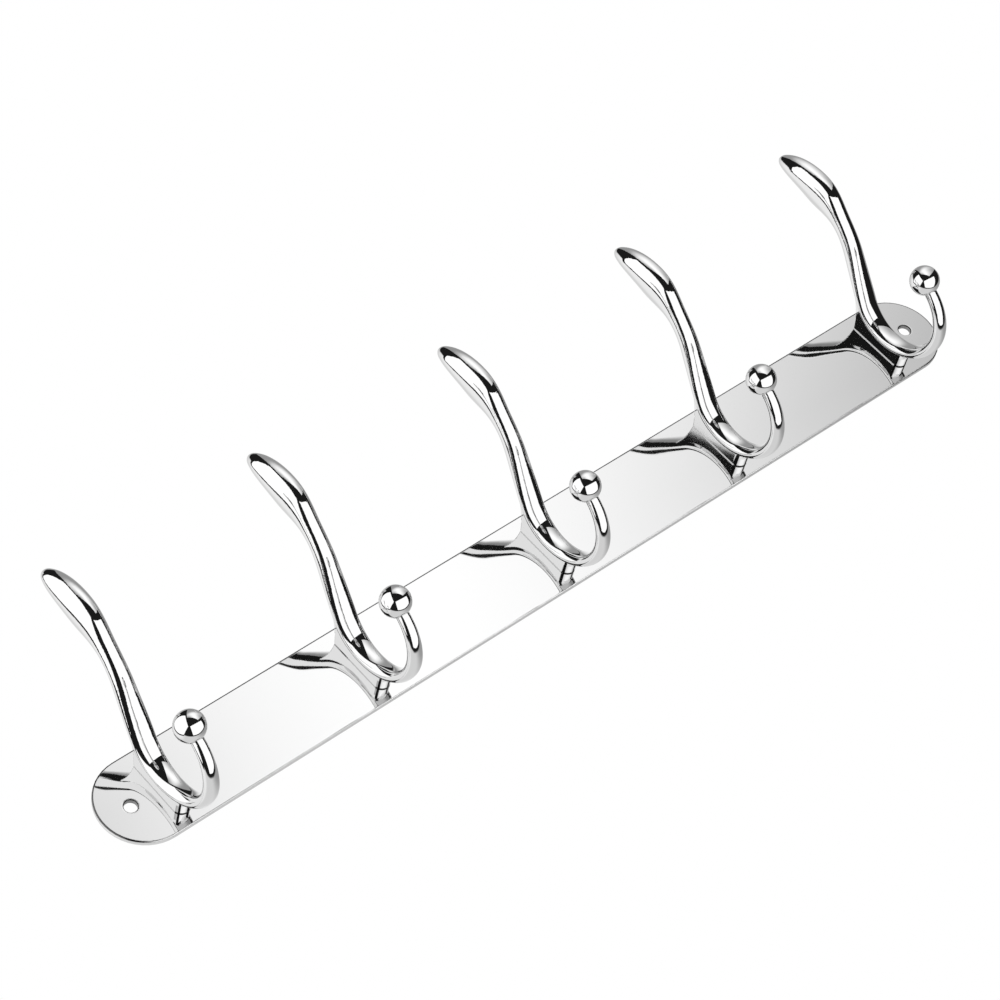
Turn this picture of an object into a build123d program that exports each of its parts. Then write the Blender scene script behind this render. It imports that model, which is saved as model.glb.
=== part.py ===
"""Wall hook rack: a polished strip of steel with five cast double hooks screwed on from behind.

Millimetres. X runs along the rack, Z is up the wall and Y points into the wall.
The origin is the middle of the plate's back, so the wall is the plane Y = 0.
"""

from build123d import *
from math import asin, degrees, radians, sin, sqrt, tan
import os

os.makedirs("parts", exist_ok=True)

# Back plate, a strip with round ends
plate_length = 431.8
plate_width = 37.0
plate_thickness = 2.0
plate_edge_round = 0.4
wall_hole_inset = 12.7  # from the plate's end to the middle of the hole
wall_hole_diameter = 5.2
wall_hole_bevel = 0.3

# Row of hooks
hook_count = 5
end_hook_inset = 27.3  # from the plate's end to the middle of the end hook

# Centre line of a hook, seen from the side: shank, bend, arm and tip
cradle_standoff = 6.1  # from the plate to the nearest point of the centre line
bend_radius = 20.4
bend_height = -2.4  # of the bend's middle, above the middle of the plate
arm_lean = 50.7  # degrees away from the wall
arm_straight = 22.3
tip_bend_radius = 42.4
tip_bend_angle = 72.3
ball_wrap = 18.0  # degrees that the bend turns past half a circle
ball_shank = 6.9

# Sections of a hook, each an oval of width along X and thickness across the arm
ball_diameter = 12.3
shank_diameter = 4.9
saddle_width = 10.0
saddle_thickness = 5.4
neck_width = 7.8
neck_thickness = 7.3
neck_place = 0.45  # share of the way from the saddle to the end of the tip
paddle_width = 10.3
widest_place = 0.74
paddle_thickness = 14.4
thickest_place = 0.68
tip_bluntness = 2.2  # power of the curve that closes the paddle's width
tip_plumpness = 1.4  # the same for its thickness

# Number of sections in each run of a hook
bend_steps = 4
arm_steps = 2
swell_steps = 4
closing_turns = (0, 12, 24, 36, 48, 60, 72, 84)  # degrees round the tip's outline

# Foot, the flat-sided web that joins the bend to the plate
foot_width = 7.0
foot_rise = 13.0
foot_drop = 13.7
foot_runout = 11.5  # length of arm that the web climbs
foot_sink = 0.3  # of the web's upper end into the arm
foot_edge_round = 0.4
seat_bevel = 0.5  # round the foot's sides and lower end, against the plate

# Countersunk fixing screws, two to a hook
screw_diameter = 3.0
screw_length = 8.0
screw_spacing = 15.0
head_diameter = 5.5
head_angle = 90.0  # of the head's cone
head_sink = 0.1  # head below the plate's back
recess_length = 2.6
recess_width = 0.6
recess_depth = 0.8
thread_clearance = 0.05
plate_hole_clearance = 0.15
seat_clearance = 0.03
point_clearance = 0.6

# Places along the plate
wall_hole_spacing = plate_length - 2 * wall_hole_inset
hook_pitch = (plate_length - 2 * end_hook_inset) / (hook_count - 1)

# Planes: the wall side of the plate faces +Y, its front carries the feet
wall_side = Plane(origin=(0, 0, 0), x_dir=(-1, 0, 0), z_dir=(0, 1, 0))
foot_side = wall_side.offset(-plate_thickness)
plate_front = -plate_thickness

# Centre line, drawn in the side view: its x is the rack's Y and its y is the rack's Z
side_view = Plane.YZ
bend_middle = (plate_front - cradle_standoff - bend_radius, bend_height)
bend_turn = 180.0 + ball_wrap
with BuildLine() as centre_line:
    bend = CenterArc(bend_middle, bend_radius, arm_lean - bend_turn, bend_turn)
    shank = Line(bend @ 0 - ball_shank * (bend % 0), bend @ 0)
    arm = PolarLine(bend @ 1, arm_straight, direction=bend % 1)
    tip = JernArc(arm @ 1, arm % 1, tip_bend_radius, -tip_bend_angle)
hook_path = Wire([side_view.from_local_coords(run.edge()) for run in (shank, bend, arm, tip)])
ball_centre = hook_path @ 0
rise_length = arm.length + tip.length


def ease(share):
    """Smooth step from 0 to 1."""
    return share * share * (3.0 - 2.0 * share)


def section_plane(run, share):
    """Plane square to a run of the centre line, with its x along the rack."""
    middle = side_view.from_local_coords(run @ share)
    along = side_view.from_local_coords(run % share)
    return Plane(origin=middle, x_dir=(1, 0, 0), z_dir=along)


def bend_section(share_of_way):
    """Width and thickness between the ball and the saddle, growing evenly."""
    width = shank_diameter + (saddle_width - shank_diameter) * share_of_way
    thickness = shank_diameter + (saddle_thickness - shank_diameter) * ease(share_of_way)
    return width, thickness


def rise_plane(share):
    """Plane square to the centre line at a share of the way from the saddle to the end of the tip."""
    travelled = share * rise_length
    if travelled <= arm.length:
        return section_plane(arm, travelled / arm.length)
    return section_plane(tip, (travelled - arm.length) / tip.length)


def rise_size(share, saddle, neck, paddle, fullest_place, closing_power):
    """One size of the rise: it runs from the saddle to the neck, swells to the paddle and closes."""
    if share <= neck_place:
        return saddle + (neck - saddle) * ease(share / neck_place)
    if share <= fullest_place:
        return neck + (paddle - neck) * ease((share - neck_place) / (fullest_place - neck_place))
    closing = (share - fullest_place) / (1.0 - fullest_place)
    return paddle * sqrt(1.0 - closing**closing_power)


def rise_section(share):
    """Width and thickness of the arm and the tip."""
    width = rise_size(share, saddle_width, neck_width, paddle_width, widest_place, tip_bluntness)
    thickness = rise_size(
        share, saddle_thickness, neck_thickness, paddle_thickness, thickest_place, tip_plumpness
    )
    return width, thickness


def hook_sections():
    """Planes and oval sizes along a hook, from inside the ball to the end of the tip."""
    way = shank.length + bend.length
    sections = [(section_plane(shank, 0.0), bend_section(0.0))]
    for step in range(bend_steps):
        share = step / bend_steps
        travelled = shank.length + share * bend.length
        sections.append((section_plane(bend, share), bend_section(travelled / way)))
    arm_share = arm.length / rise_length
    shares = [arm_share * step / arm_steps for step in range(arm_steps + 1)]
    shares += [neck_place + (thickest_place - neck_place) * step / swell_steps for step in range(swell_steps)]
    shares += [thickest_place + (1.0 - thickest_place) * sin(radians(turn)) for turn in closing_turns]
    return sections + [(rise_plane(share), rise_section(share)) for share in shares]


# Web under the bend: its back edge runs out along the arm and into it, its lower end is round
web_top = foot_runout / arm_straight
arm_way = arm % 1
arm_back_side = Vector(arm_way.Y, -arm_way.X)
merge_width, merge_thickness = rise_section(foot_runout / rise_length)
arm_depth = merge_thickness / 2 * sqrt(1.0 - (foot_width / merge_width) ** 2)
web_merge = arm @ web_top + arm_back_side * (arm_depth - foot_sink)
low_angle = degrees(asin((-foot_drop - bend_height) / bend_radius))
with BuildPart() as web:
    with BuildSketch(side_view):
        with BuildLine():
            contact = Line((plate_front, -foot_drop), (plate_front, foot_rise))
            TangentArc(web_merge, contact @ 1, tangent=arm_way * -1)
            Line(web_merge, arm @ web_top)
            Line(arm @ web_top, arm @ 0)
            under_bend = CenterArc(bend_middle, bend_radius, arm_lean, low_angle - arm_lean)
            Line(under_bend @ 1, contact @ 0)
        make_face()
    extrude(amount=foot_width / 2, both=True)
    with BuildSketch(foot_side):
        straight_rise = web_merge.Y + foot_drop - foot_width / 2
        with Locations((0, web_merge.Y - straight_rise / 2)):
            Rectangle(foot_width, straight_rise)
        with Locations((0, -foot_drop + foot_width / 2)):
            Circle(foot_width / 2)
    extrude(amount=-(cradle_standoff + 2 * bend_radius), mode=Mode.INTERSECT)
    seat = web.faces().sort_by(Axis.Y)[-1]
    chamfer(seat.edges().sort_by(Axis.Z)[:-1], seat_bevel)
    back_face = web.faces().filter_by(GeomType.CYLINDER).sort_by(Axis.Z)[-1]
    fillet(back_face.edges().filter_by(GeomType.CIRCLE), foot_edge_round)

# Hook casting, on the middle of the rack
screw_reach = head_sink + screw_length - plate_thickness
with BuildPart() as casting:
    for plane, (width, thickness) in hook_sections():
        with BuildSketch(plane):
            with BuildLine():
                EllipticalCenterArc((0, 0), width / 2, thickness / 2, arc_size=360)
            make_face()
    sweep(path=hook_path, multisection=True)
    with Locations(ball_centre):
        Sphere(ball_diameter / 2)
    add(web.part)
    with Locations(foot_side):
        with GridLocations(0, screw_spacing, 1, 2):
            Hole(screw_diameter / 2 + thread_clearance, depth=screw_reach + point_clearance)

# Back plate
cone_slope = tan(radians(head_angle / 2))
with BuildPart() as back_plate:
    with BuildSketch(Plane.XZ):
        SlotOverall(plate_length, plate_width)
    extrude(amount=plate_thickness)
    with Locations(wall_side):
        with GridLocations(wall_hole_spacing, 0, 2, 1):
            Hole(wall_hole_diameter / 2)
    front_face = back_plate.faces().sort_by(Axis.Y)[0]
    fillet(front_face.outer_wire().edges(), plate_edge_round)
    front_face = back_plate.faces().sort_by(Axis.Y)[0]
    hole_rims = [edge for wire in front_face.inner_wires() for edge in wire.edges()]
    chamfer(hole_rims, wall_hole_bevel)
    with Locations(wall_side):
        with GridLocations(hook_pitch, screw_spacing, hook_count, 2):
            CounterSinkHole(
                radius=screw_diameter / 2 + plate_hole_clearance,
                counter_sink_radius=head_diameter / 2 + head_sink * cone_slope + seat_clearance,
                counter_sink_angle=head_angle,
            )
back_plate.part.label = "back_plate"
export_step(back_plate.part, "parts/back_plate.step")

# Fixing screw, on the middle of the rack
head_height = (head_diameter - screw_diameter) / 2 / cone_slope
screw_point = -head_sink - screw_length
with BuildPart() as screw:
    with BuildSketch(Plane.XY):
        with BuildLine():
            Polyline(
                (0, -head_sink),
                (head_diameter / 2, -head_sink),
                (screw_diameter / 2, -head_sink - head_height),
                (screw_diameter / 2, screw_point),
                (0, screw_point),
                close=True,
            )
        make_face()
    revolve(axis=Axis.Y)
    with BuildSketch(wall_side.offset(-head_sink)):
        Rectangle(recess_length, recess_width)
        Rectangle(recess_width, recess_length)
    extrude(amount=-recess_depth, mode=Mode.SUBTRACT)

# Five hooks and their screws, numbered from the left
for number in range(1, hook_count + 1):
    hook_x = (number - (hook_count + 1) / 2) * hook_pitch
    with BuildPart() as hook:
        with Locations((hook_x, 0, 0)):
            add(casting.part)
    hook.part.label = f"hook_{number}"
    export_step(hook.part, f"parts/hook_{number}.step")
    for level, side in (("upper", 1), ("lower", -1)):
        with BuildPart() as hook_screw:
            with Locations((hook_x, 0, side * screw_spacing / 2)):
                add(screw.part)
        hook_screw.part.label = f"hook_{number}_{level}_screw"
        export_step(hook_screw.part, f"parts/hook_{number}_{level}_screw.step")
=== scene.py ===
"""Looks of the wall hook rack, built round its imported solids.

Metres. X runs along the rack, Y points into the wall and Z is up.
The origin is the middle of the back plate's back.
"""

from math import radians

import bpy
from mathutils import Matrix, Vector

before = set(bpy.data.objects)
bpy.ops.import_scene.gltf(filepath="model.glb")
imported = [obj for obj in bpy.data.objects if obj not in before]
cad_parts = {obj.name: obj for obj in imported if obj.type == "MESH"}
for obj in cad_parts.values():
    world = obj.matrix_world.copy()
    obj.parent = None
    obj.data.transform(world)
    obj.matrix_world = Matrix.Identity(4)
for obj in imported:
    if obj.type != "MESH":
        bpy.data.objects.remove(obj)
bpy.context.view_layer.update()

# Camera: in front of the rack, to its left and below it, and rolled
camera_place = Vector((-0.6727, -1.0145, -0.4629))
camera_target = Vector((-0.0055, -0.0103, 0.0247))
camera_roll = radians(-44.9)
camera_focal_length = 121.5  # mm, on a sensor 36 mm wide
sensor_width = 36.0

# Floor: pale, and well below the rack
floor_height = -0.95
floor_half_size = 7.0
floor_tones = (0.80, 0.84)
floor_roughness = 0.8
floor_speckle_scale = 6.0
floor_speckle_detail = 4.0

# Studio that the metal mirrors: a pale wall behind the rack, a dark room in front
room_glow = 0.0145
wall_glow = (1.15, 0.86, 0.42)  # at the far left, in the middle and at the upper right
left_axis = (0.94, 0.33, 0.0)  # towards its middle from the far left, as (right, up, back)
left_turn = (-0.93, -0.60)  # slopes along that axis over which it darkens
right_axis = (0.707, 0.707, 0.0)  # from the middle towards the upper right
right_turn = (-0.35, 0.35)
wall_rise = (0.21, 0.30)  # slope into the wall over which the dark room gives way to the wall
ambient_glow = 0.55

# Light panels, by their corners as (right, up, back towards the camera) from the rack's middle.
# The rim is a dark card behind the left panel and a little larger.
left_panel = (
    (-0.209, -0.026, 0.979),
    (-0.403, 0.617, 0.256),
    (-0.632, 0.021, -0.171),
    (-0.476, -0.580, 0.430),
)
left_rim = (
    (-0.215, -0.033, 0.995),
    (-0.431, 0.648, 0.202),
    (-0.675, 0.007, -0.268),
    (-0.516, -0.720, 0.390),
)
right_panel = (
    (-0.030, -0.026, 0.853),
    (0.148, -0.679, 0.465),
    (0.460, -0.096, -0.030),
    (0.572, 0.300, 0.079),
)
top_panel = (
    (-0.393, 0.941, 0.680),
    (0.371, 0.331, 0.304),
    (0.580, 0.561, -0.910),
    (-0.346, 0.863, -0.934),
)
panel_glow = 1.44

# The top panel is brightest at its lamp and fades away from it
lamp_place = (0.12, 0.613, 0.20)
lamp_along = (0.601, -0.324, -0.730)
lamp_across = (-0.586, 0.443, -0.679)
lamp_reach = (0.325, 0.42)  # along and across
lamp_fan = 0.9  # growth of its reach along, for each metre across
lamp_sharpness = 4.0  # power of the fading across
faded_glow = 0.393

# Metals: share of the light returned, roughness, and the ripple left by polishing
steel_finish = {"tone": 0.70, "roughness": 0.03, "ripple_height": 0.00001, "ripple_scale": 30.0}
chrome_finish = {"tone": 0.72, "roughness": 0.02, "ripple_height": 0.000002, "ripple_scale": 60.0}
zinc_finish = {"tone": 0.62, "roughness": 0.25, "ripple_height": 0.00001, "ripple_scale": 300.0}
ripple_detail = 1.0
haze_scale = 90.0
haze_detail = 5.0
haze_range = (0.3, 0.7)  # of the noise, from its clearest to its haziest
haze_spread = 0.4  # share by which the haze changes the roughness

# Back plate: a rounded edge with painted shade along its upper front, and two punched wall holes with
# painted shade in their bores and on their rims
plate_half_length = 0.2159
plate_half_width = 0.0185
plate_edge_round = 0.0008
plate_edge_samples = 8  # rays that find the edge to round
plate_edge_depth = 0.0006
plate_edge_front = -0.0016  # the painted edge shade is in front of this
plate_edge_rise = (-0.018, -0.011)  # heights over which the painted edge shade begins
# painted shade along the plate's upper front edge
painted_edge_shade_tone = 0.12
wall_hole_place = 0.2032  # from the rack's middle
wall_hole_radius = 0.00262
wall_hole_rim = 0.0029
# painted shade in the wall holes' bores and on their rims
bore_painted_shade_tone = 0.25
rim_painted_shade_tone = 0.05
punched_roughness = 0.35

# Hooks: the lower end of the foot, with a painted highlight along a strip, painted shade to its sides,
# and painted shade at its seat on the plate
hook_pitch = 0.0943
foot_end_height = -0.0108
foot_end_depth = -0.0066
foot_end_half_width = 0.0034
foot_highlight_place = -0.0017  # along the rack, from the middle of the foot
foot_highlight_reach = (0.0003, 0.0019)
# painted highlight along the strip, and painted shade to its sides
foot_highlight_and_shade_tones = (0.90, 0.32)
seat_depth = -0.0026
# painted shade where the foot sits on the plate
seat_painted_shade_tone = 0.04


def add_camera():
    """The photograph's view."""
    data = bpy.data.cameras.new("camera")
    data.sensor_fit = "HORIZONTAL"
    data.sensor_width = sensor_width
    data.lens = camera_focal_length
    camera = bpy.data.objects.new("camera", data)
    aim = (camera_target - camera_place).to_track_quat("-Z", "Y").to_matrix()
    turn = aim @ Matrix.Rotation(camera_roll, 3, "Z")
    camera.matrix_world = Matrix.Translation(camera_place) @ turn.to_4x4()
    bpy.context.scene.collection.objects.link(camera)
    bpy.context.scene.camera = camera
    return camera


camera = add_camera()
studio_axes = camera.matrix_world.to_3x3()


class NodeTree:
    """Short names for making and joining shader nodes."""

    def __init__(self, tree):
        self.tree = tree
        tree.nodes.clear()

    def add(self, kind, inputs=(), **settings):
        """A node with its settings made and its sockets filled or joined."""
        node = self.tree.nodes.new(kind)
        for name, value in settings.items():
            setattr(node, name, value)
        for socket, value in dict(inputs).items():
            self.put(node.inputs[socket], value)
        return node

    def put(self, socket, value):
        """Joins a socket to another node, or sets its value; one number on a colour is a grey."""
        if isinstance(value, bpy.types.NodeSocket):
            self.tree.links.new(value, socket)
        elif socket.type == "RGBA":
            socket.default_value = (value, value, value, 1.0)
        else:
            socket.default_value = value

    def math(self, operation, a, b=0.0):
        return self.add("ShaderNodeMath", {0: a, 1: b}, operation=operation).outputs[0]

    def dot(self, a, b):
        return self.add("ShaderNodeVectorMath", {0: a, 1: b}, operation="DOT_PRODUCT").outputs["Value"]

    def radius(self, across, up):
        """Distance from a point, by its two offsets."""
        offset = self.add("ShaderNodeCombineXYZ", {"X": across, "Z": up}).outputs[0]
        return self.add("ShaderNodeVectorMath", {0: offset}, operation="LENGTH").outputs["Value"]

    def noise(self, place, scale, detail):
        inputs = {"Vector": place, "Scale": scale, "Detail": detail}
        return self.add("ShaderNodeTexNoise", inputs).outputs["Fac"]

    def scale(self, value, low, high, to_low, to_high, smooth=False):
        """A value carried from one range to another, and held at its ends."""
        kind = "SMOOTHSTEP" if smooth else "LINEAR"
        inputs = {"Value": value, "From Min": low, "From Max": high, "To Min": to_low, "To Max": to_high}
        return self.add("ShaderNodeMapRange", inputs, interpolation_type=kind).outputs[0]

    def mix(self, share, without, full):
        """Between two values by a share from 0 to 1."""
        return self.scale(share, 0.0, 1.0, without, full)

    def finish(self, kind, shader):
        self.add(kind, {"Surface": shader.outputs[0]})


def new_material(name):
    """A material and its emptied node tree."""
    material = bpy.data.materials.new(name)
    material.use_nodes = True
    return material, NodeTree(material.node_tree)


def new_stage_object(name, corners, material):
    """A flat face of the studio round the rack."""
    mesh = bpy.data.meshes.new(name)
    mesh.from_pydata(corners, [], [range(len(corners))])
    mesh.materials.append(material)
    stage_object = bpy.data.objects.new(name, mesh)
    bpy.context.scene.collection.objects.link(stage_object)
    return stage_object


def set_world():
    """White to the camera; in the metal a pale wall behind the rack and a dark room in front."""
    world = bpy.data.worlds.new("studio")
    bpy.context.scene.world = world
    world.use_nodes = True
    nodes = NodeTree(world.node_tree)
    light_path = nodes.add("ShaderNodeLightPath").outputs
    way = nodes.add("ShaderNodeTexCoord").outputs["Generated"]
    into_wall = nodes.add("ShaderNodeSeparateXYZ", {"Vector": way}).outputs["Y"]
    far_left, middle, upper_right = wall_glow
    to_left = nodes.dot(way, studio_axes @ Vector(left_axis))
    left_part = nodes.scale(to_left, *left_turn, far_left, middle, smooth=True)
    to_right = nodes.dot(way, studio_axes @ Vector(right_axis))
    right_share = nodes.scale(to_right, *right_turn, 1.0, upper_right / middle, smooth=True)
    wall = nodes.math("MULTIPLY", left_part, right_share)
    studio = nodes.scale(into_wall, *wall_rise, room_glow, wall, smooth=True)
    shiny = nodes.math("MAXIMUM", light_path["Is Glossy Ray"], light_path["Is Transmission Ray"])
    mirrored = nodes.mix(shiny, ambient_glow, studio)
    strength = nodes.mix(light_path["Is Camera Ray"], mirrored, 1.0)
    shader = nodes.add("ShaderNodeBackground", {"Color": 1.0, "Strength": strength})
    nodes.finish("ShaderNodeOutputWorld", shader)


def lamp_light(nodes):
    """Glow that fades slowly along the lamp and, past an even middle, faster across it."""
    place = nodes.add("ShaderNodeTexCoord").outputs["Object"]
    lamp = studio_axes @ Vector(lamp_place)
    gap = nodes.add("ShaderNodeVectorMath", {0: place, 1: lamp}, operation="SUBTRACT").outputs["Vector"]
    along = nodes.dot(gap, studio_axes @ Vector(lamp_along))
    across = nodes.dot(gap, studio_axes @ Vector(lamp_across))
    reach_along, reach_across = lamp_reach
    fan = nodes.math("MULTIPLY", nodes.math("MAXIMUM", across, 0.0), lamp_fan)
    along_share = nodes.math("DIVIDE", along, nodes.math("ADD", fan, reach_along))
    across_share = nodes.math("DIVIDE", nodes.math("ABSOLUTE", across), reach_across)
    fading_along = nodes.math("MULTIPLY", along_share, along_share)
    fading_across = nodes.math("POWER", across_share, lamp_sharpness)
    fading = nodes.math("ADD", fading_along, fading_across)
    share = nodes.math("EXPONENT", nodes.math("MULTIPLY", fading, -1.0))
    return nodes.mix(share, faded_glow, panel_glow)


def add_panel(name, corners, glow=panel_glow, has_lamp=False):
    """A flat light that shines on the rack; the camera itself doesn't see it."""
    material, nodes = new_material(name)
    strength = lamp_light(nodes) if has_lamp else glow
    nodes.finish("ShaderNodeOutputMaterial", nodes.add("ShaderNodeEmission", {"Strength": strength}))
    panel = new_stage_object(name, [studio_axes @ Vector(corner) for corner in corners], material)
    panel.visible_camera = False
    panel.visible_shadow = False


def add_floor():
    """A plain pale floor, which the metal doesn't mirror."""
    material, nodes = new_material("floor")
    place = nodes.add("ShaderNodeTexCoord").outputs["Object"]
    speckle = nodes.noise(place, floor_speckle_scale, floor_speckle_detail)
    tone = nodes.mix(speckle, *floor_tones)
    inputs = {"Base Color": tone, "Roughness": floor_roughness}
    nodes.finish("ShaderNodeOutputMaterial", nodes.add("ShaderNodeBsdfPrincipled", inputs))
    half = floor_half_size
    outline = ((-half, -half), (half, -half), (half, half), (-half, half))
    floor = new_stage_object("floor", [(x, y, floor_height) for x, y in outline], material)
    floor.visible_glossy = False


def plate_painted_shade(nodes, place, tone, gloss):
    """Painted shade along the plate's upper front edge and in and round its wall holes, which are also
    rougher.
    """
    axes = nodes.add("ShaderNodeSeparateXYZ", {"Vector": place}).outputs
    from_middle = nodes.math("ABSOLUTE", axes["X"])
    round_end = nodes.math("SUBTRACT", from_middle, plate_half_length - plate_half_width)
    edge_radius = nodes.radius(nodes.math("MAXIMUM", round_end, 0.0), axes["Z"])
    at_outline = nodes.math("GREATER_THAN", edge_radius, plate_half_width - plate_edge_depth)
    in_front = nodes.math("LESS_THAN", axes["Y"], plate_edge_front)
    raised = nodes.scale(axes["Z"], *plate_edge_rise, 0.0, 1.0)
    on_painted_edge_shade = nodes.math("MULTIPLY", nodes.math("MULTIPLY", at_outline, in_front), raised)
    hole_radius = nodes.radius(nodes.math("SUBTRACT", from_middle, wall_hole_place), axes["Z"])
    in_hole = nodes.math("LESS_THAN", hole_radius, wall_hole_rim)
    on_rim = nodes.math("GREATER_THAN", hole_radius, wall_hole_radius)
    # painted shade in the bores and on the rims of the wall holes
    hole_painted_shade_tone = nodes.mix(on_rim, bore_painted_shade_tone, rim_painted_shade_tone)
    # painted shade along the upper front edge
    tone = nodes.mix(on_painted_edge_shade, tone, painted_edge_shade_tone)
    return nodes.mix(in_hole, tone, hole_painted_shade_tone), nodes.mix(in_hole, gloss, punched_roughness)


def foot_painted_light(nodes, place, tone, gloss):
    """The lower end of a hook's foot, with a painted highlight along a strip, painted shade to its
    sides, and painted shade at its seat on the plate.
    """
    axes = nodes.add("ShaderNodeSeparateXYZ", {"Vector": place}).outputs
    low = nodes.math("LESS_THAN", axes["Z"], foot_end_height)
    near_plate = nodes.math("GREATER_THAN", axes["Y"], foot_end_depth)
    hook_number = nodes.math("ROUND", nodes.math("DIVIDE", axes["X"], hook_pitch))
    hook_middle = nodes.math("MULTIPLY", hook_number, hook_pitch)
    across = nodes.math("SUBTRACT", axes["X"], hook_middle)
    rounded = nodes.math("LESS_THAN", nodes.math("ABSOLUTE", across), foot_end_half_width)
    at_end = nodes.math("MULTIPLY", nodes.math("MULTIPLY", low, near_plate), rounded)
    # a painted highlight along a strip of the foot's end, fading to painted shade on its sides
    from_highlight = nodes.math("ABSOLUTE", nodes.math("SUBTRACT", across, foot_highlight_place))
    end_tone = nodes.scale(from_highlight, *foot_highlight_reach, *foot_highlight_and_shade_tones, smooth=True)
    # painted shade at the seat on the plate
    on_seat = nodes.math("GREATER_THAN", axes["Y"], seat_depth)
    return nodes.mix(at_end, tone, nodes.mix(on_seat, end_tone, seat_painted_shade_tone)), gloss


def polished_metal(name, finish, add_painted_light=None, edge_round=0.0):
    """Metal with a faint haze and a slight ripple from its polishing, and any painted highlights and
    shade of its own.
    """
    material, nodes = new_material(name)
    place = nodes.add("ShaderNodeTexCoord").outputs["Object"]
    tone = finish["tone"]
    roughness = finish["roughness"]
    smoothest = roughness * (1.0 - haze_spread)
    roughest = roughness * (1.0 + haze_spread)
    haze = nodes.noise(place, haze_scale, haze_detail)
    gloss = nodes.scale(haze, *haze_range, smoothest, roughest)
    # painted highlights and shade of the part's own
    if add_painted_light:
        tone, gloss = add_painted_light(nodes, place, tone, gloss)
    ripple = nodes.noise(place, finish["ripple_scale"], ripple_detail)
    bump = nodes.add("ShaderNodeBump", {"Height": ripple, "Distance": finish["ripple_height"]})
    if edge_round:
        bevel = nodes.add("ShaderNodeBevel", {"Radius": edge_round}, samples=plate_edge_samples)
        nodes.put(bump.inputs["Normal"], bevel.outputs["Normal"])
    inputs = {"Base Color": tone, "Metallic": 1.0, "Roughness": gloss, "Normal": bump.outputs[0]}
    nodes.finish("ShaderNodeOutputMaterial", nodes.add("ShaderNodeBsdfPrincipled", inputs))
    return material


set_world()
add_panel("left_panel", left_panel)
add_panel("left_rim", left_rim, glow=room_glow)
add_panel("right_panel", right_panel)
add_panel("top_panel", top_panel, has_lamp=True)
add_floor()

steel = polished_metal("polished_steel_look", steel_finish, plate_painted_shade, plate_edge_round)
chrome = polished_metal("chrome_look", chrome_finish, foot_painted_light)
zinc = polished_metal("zinc_look", zinc_finish)
for name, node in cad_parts.items():
    if name == "back_plate":
        node.material_slots[0].material = steel
    elif name.endswith("screw"):
        node.material_slots[0].material = zinc
    else:
        node.material_slots[0].material = chrome

bpy.context.scene.view_settings.view_transform = "Standard"
